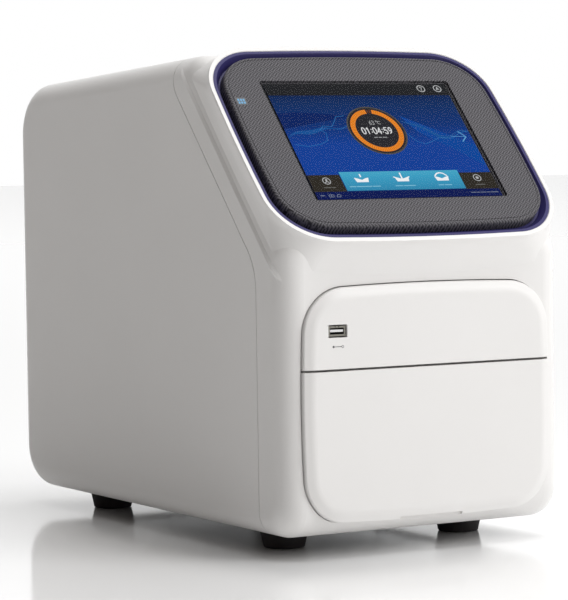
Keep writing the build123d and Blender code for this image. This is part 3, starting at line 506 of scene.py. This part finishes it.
def touch_key():
    cells = []
    for i in range(3):
        for j in range(2):
            u, v = -117.4 + i * 2.35, 40.6 + j * 3.0
            cells.append([(u, v), (u + 1.7, v), (u + 2.0, v + 2.4), (u + 0.3, v + 2.4)])
    flat("touch_symbol", cells, -0.02, glow("symbol_blue", (0.22, 0.46, 0.70), 0.9))


def glass():
    """Cover glass over the screen: a thin polished pane with eased edges."""
    lo, hi = (-89.6, -63.6), (88.6, 65.6)
    verts, faces = [], []
    loops = []
    for inset, depth in ((0.0, 1.4), (0.0, 0.40), (0.25, 0.15)):
        start = len(verts)
        ring = []
        for cu, cv, a0 in ((hi[0], hi[1], 0), (lo[0], hi[1], 90), (lo[0], lo[1], 180), (hi[0], lo[1], 270)):
            r = 2.1
            ox, oy = cu - math.copysign(r, cu), cv - math.copysign(r, cv)
            for k in range(9):
                a = math.radians(a0 + 90 * k / 8)
                ring.append((ox + (r - inset) * math.cos(a), oy + (r - inset) * math.sin(a)))
        verts += [slant(u, v, depth) for u, v in ring]
        loops.append((start, len(ring)))
    for (a, n), (b, _) in zip(loops, loops[1:]):
        faces += [(a + k, a + (k + 1) % n, b + (k + 1) % n, b + k) for k in range(n)]
    top, n = loops[-1]
    faces.append(tuple(range(top, top + n)))
    bottom, n = loops[0]
    faces.append(tuple(reversed(range(bottom, bottom + n))))
    pane = mesh_piece("cover_glass", verts, faces,
                      shader("cover_glass", (0.02, 0.02, 0.024), 0.04, alpha=0.05))
    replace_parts(pane, "touch_glass")


FRONT_Y = -244.2             # face of the front panels
MARK_Z = 165.0
FAN_X, FAN_Z = 47.0, 205.0
GUARD_RINGS = (4.5, 11, 17.5, 24, 30.5, 37)
RING_Y, SPOKE_Y = 248.6, 247.7
EYE_AT, EYE_R, WIRE_R = 50.56, 2.6, 0.7


def front(u, v, depth):
    """Point on the front panels, in millimetres across and up, depth behind their face."""
    return Vector((u, FRONT_Y + depth, v)) * MM


def socket_mark():
    """Generic mark under the front socket: a line between a dot and a ring."""
    mat = moulded("printed_grey", (0.10, 0.10, 0.105), 0.5)
    shapes = stroke([(-88.0, MARK_Z), (-81.4, MARK_Z)], 0.5) + [disc(-88.6, MARK_Z, 0.9, 24)]
    shapes += arc_band(-80.4, MARK_Z, 0.7, 1.1, 0, 360, 24)
    flat("socket_mark", shapes, -0.03, mat, to_world=front)


def wires(name, paths, radius, mat, body="chassis"):
    """Round wires, each path (points, closed), in millimetres."""
    data = bpy.data.curves.new(name, "CURVE")
    data.dimensions, data.bevel_depth, data.bevel_resolution, data.use_fill_caps = "3D", radius * MM, 3, True
    for points, closed in paths:
        line = data.splines.new("POLY")
        line.points.add(len(points) - 1)
        for point, at in zip(line.points, points):
            point.co = (*(c * MM for c in at), 1)
        line.use_cyclic_u = closed
    data.materials.append(mat)
    obj = bpy.data.objects.new(name, data)
    scene.collection.objects.link(obj)
    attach(obj, body)
    return obj


def guard_wires():
    """Finger guards of the two fans: rings on four spokes that end in eyes."""
    def ring(cx, cz, r, y, n=56):
        turns = [2 * math.pi * k / n for k in range(n)]
        return [(cx + r * math.cos(a), y, cz + r * math.sin(a)) for a in turns], True
    paths = []
    for cx in (-FAN_X, FAN_X):
        paths += [ring(cx, FAN_Z, r, RING_Y) for r in GUARD_RINGS]
        for angle in (45, 135, 225, 315):
            c, s = math.cos(math.radians(angle)), math.sin(math.radians(angle))
            paths.append(([(cx + r * c, SPOKE_Y, FAN_Z + r * s) for r in (4.5, 20, 36, 48.2)], False))
            paths.append(ring(cx + c * EYE_AT, FAN_Z + s * EYE_AT, EYE_R, SPOKE_Y, 24))
    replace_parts(wires("guard_wires", paths, WIRE_R, M["bright"]), "fan_guards")


screen()
touch_key()
glass()
socket_mark()
guard_wires()

# ------------------------------------------------------------------ floor, world, lights
def floor():
    size = 30.0
    data = bpy.data.meshes.new("floor")
    data.from_pydata([(-size, -size, 0), (size, -size, 0), (size, size, 0), (-size, size, 0)], [], [(0, 1, 2, 3)])
    obj = bpy.data.objects.new("floor", data)
    scene.collection.objects.link(obj)
    obj.location.z = CAD_BOX[0].z - 0.0002
    obj.data.materials.append(shader("floor_white", (0.92, 0.92, 0.92), 0.10, spec=0.5, ior=2.0))


def world():
    w = bpy.data.worlds.new("studio")
    scene.world = w
    w.use_nodes = True
    tree = w.node_tree
    tree.nodes.clear()
    out = tree.nodes.new("ShaderNodeOutputWorld")
    coords = tree.nodes.new("ShaderNodeTexCoord")
    dot = tree.nodes.new("ShaderNodeVectorMath")
    dot.operation = "DOT_PRODUCT"
    dot.inputs[1].default_value = (0.88, 0.25, 0.40)
    fade = tree.nodes.new("ShaderNodeMapRange")
    fade.interpolation_type = "SMOOTHSTEP"
    fade.inputs["From Min"].default_value = -0.42
    fade.inputs["From Max"].default_value = 0.55
    fade.inputs["To Min"].default_value = 0.05
    fade.inputs["To Max"].default_value = 0.94
    shade = tree.nodes.new("ShaderNodeBackground")
    plain = tree.nodes.new("ShaderNodeBackground")
    plain.inputs["Color"].default_value = (1, 1, 1, 1)
    plain.inputs["Strength"].default_value = 1.0
    path = tree.nodes.new("ShaderNodeLightPath")
    mix = tree.nodes.new("ShaderNodeMixShader")
    tree.links.new(coords.outputs["Generated"], dot.inputs[0])
    tree.links.new(dot.outputs["Value"], fade.inputs["Value"])
    tint = tree.nodes.new("ShaderNodeValToRGB")
    tint.color_ramp.elements[0].position, tint.color_ramp.elements[0].color = 0.15, (1.0, 0.90, 0.83, 1)
    tint.color_ramp.elements[1].position, tint.color_ramp.elements[1].color = 0.75, (1, 1, 1, 1)
    tree.links.new(fade.outputs["Result"], tint.inputs["Fac"])
    tree.links.new(tint.outputs["Color"], shade.inputs["Color"])
    tree.links.new(fade.outputs["Result"], shade.inputs["Strength"])
    tree.links.new(path.outputs["Is Camera Ray"], mix.inputs["Fac"])
    tree.links.new(shade.outputs["Background"], mix.inputs[1])
    tree.links.new(plain.outputs["Background"], mix.inputs[2])
    tree.links.new(mix.outputs["Shader"], out.inputs["Surface"])


def softbox(name, at, look_at, size, power, color=(1, 1, 1)):
    data = bpy.data.lights.new(name, "AREA")
    data.shape, data.size, data.size_y = "RECTANGLE", size[0], size[1]
    data.energy, data.color = power, color
    obj = bpy.data.objects.new(name, data)
    scene.collection.objects.link(obj)
    obj.location = at
    obj.rotation_mode = "QUATERNION"
    obj.rotation_quaternion = (Vector(look_at) - Vector(at)).to_track_quat("-Z", "Y")
    return obj


def overhead(strength, spread, towards):
    """Large soft light from above, spread in degrees, towards = direction to the light."""
    data = bpy.data.lights.new("overhead", "SUN")
    data.energy, data.angle = strength, math.radians(spread)
    obj = bpy.data.objects.new("overhead", data)
    scene.collection.objects.link(obj)
    obj.rotation_mode = "QUATERNION"
    obj.rotation_quaternion = (-Vector(towards)).to_track_quat("-Z", "Y")
    return obj


floor()
world()
softbox("key", (1.1, -1.7, 1.3), (0, -0.1, 0.2), (1.2, 1.2), 18)
overhead(1.30, 32, (0.18, -0.16, 1.0))

# ------------------------------------------------------------------ camera
def camera():
    data = bpy.data.cameras.new("camera")
    obj = bpy.data.objects.new("camera", data)
    scene.collection.objects.link(obj)
    yaw, pitch, roll = 0.521, 0.046, -0.015
    fwd = Vector((math.sin(yaw) * math.cos(pitch), math.cos(yaw) * math.cos(pitch), -math.sin(pitch)))
    right = Vector((math.cos(yaw), -math.sin(yaw), 0))
    up = right.cross(fwd)
    r = math.cos(roll) * right + math.sin(roll) * up
    u = -math.sin(roll) * right + math.cos(roll) * up
    obj.matrix_world = Matrix(((r.x, u.x, -fwd.x, -1.16206), (r.y, u.y, -fwd.y, -2.06078),
                               (r.z, u.z, -fwd.z, 0.31115), (0, 0, 0, 1)))
    data.sensor_fit = "HORIZONTAL"
    data.sensor_width = 36.0
    data.lens = 174.5113
    data.shift_x, data.shift_y = -0.0241197, -0.0285563
    data.clip_start, data.clip_end = 0.1, 60
    scene.camera = obj


camera()
scene.view_settings.view_transform = "Standard"
